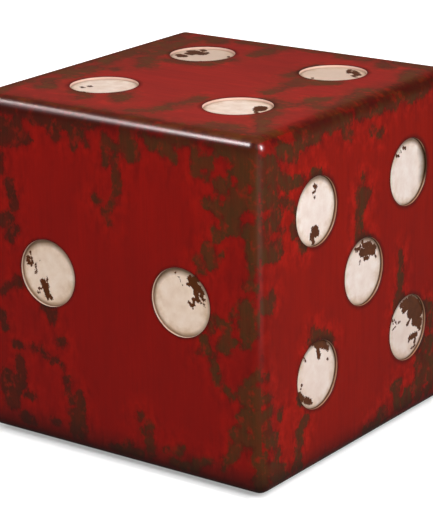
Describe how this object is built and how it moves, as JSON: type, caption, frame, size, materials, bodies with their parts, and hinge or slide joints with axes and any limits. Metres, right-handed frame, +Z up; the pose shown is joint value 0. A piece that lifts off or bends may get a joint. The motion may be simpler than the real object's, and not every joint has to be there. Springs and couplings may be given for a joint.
{
  "type": "die cube table",
  "caption": "Large hollow wooden die used as a side table: a cube with rounded edges, worn red paint and sunk cream pips on every face.",
  "frame": {"origin": "on the floor, under the middle of the cube", "axes": "+Z up, -Y out of the face with two pips (front), +X out of the face with five pips (right)"},
  "size_m": [0.508, 0.508, 0.512],
  "materials": {
    "red_paint": "hand-brushed red paint rubbed through to a brown undercoat, satin lacquer",
    "pip_paint": "cream paint with a tan glaze at the rim and brown chips",
    "pine": "planed, unfinished",
    "plywood": "sawn, unfinished",
    "zinc_steel": "zinc plated",
    "nylon": "moulded"
  },
  "bodies": {
    "root": {"front_panel": "red_paint", "right_panel": "red_paint", "back_panel": "red_paint", "left_panel": "red_paint", "top_panel": "red_paint", "base_panel": "red_paint", "pip_two_middle_left": "pip_paint", "pip_two_middle_right": "pip_paint", "pip_five_lower_left": "pip_paint", "pip_five_lower_right": "pip_paint", "pip_five_upper_left": "pip_paint", "pip_five_upper_right": "pip_paint", "pip_five_middle_centre": "pip_paint", "pip_one_middle_centre": "pip_paint", "pip_six_lower_left": "pip_paint", "pip_six_lower_right": "pip_paint", "pip_six_upper_left": "pip_paint", "pip_six_upper_right": "pip_paint", "pip_six_middle_left": "pip_paint", "pip_six_middle_right": "pip_paint", "pip_four_lower_left": "pip_paint", "pip_four_lower_right": "pip_paint", "pip_four_upper_left": "pip_paint", "pip_four_upper_right": "pip_paint", "pip_three_upper_left": "pip_paint", "pip_three_middle_centre": "pip_paint", "pip_three_lower_right": "pip_paint", "post_front_right": "pine", "post_back_right": "pine", "post_back_left": "pine", "post_front_left": "pine", "top_batten_front": "pine", "top_batten_right": "pine", "top_batten_back": "pine", "top_batten_left": "pine", "base_batten_front": "pine", "base_batten_right": "pine", "base_batten_back": "pine", "base_batten_left": "pine", "top_tongue_front": "plywood", "top_tongue_right": "plywood", "top_tongue_back": "plywood", "top_tongue_left": "plywood", "corner_tongue_front_right": "plywood", "corner_tongue_back_right": "plywood", "corner_tongue_back_left": "plywood", "corner_tongue_front_left": "plywood", "glide_front_right": "nylon", "glide_back_right": "nylon", "glide_back_left": "nylon", "glide_front_left": "nylon", "glide_nails": "zinc_steel", "side_screws": "zinc_steel", "top_screws": "zinc_steel", "base_screws": "zinc_steel"}
  },
  "joints": []
}
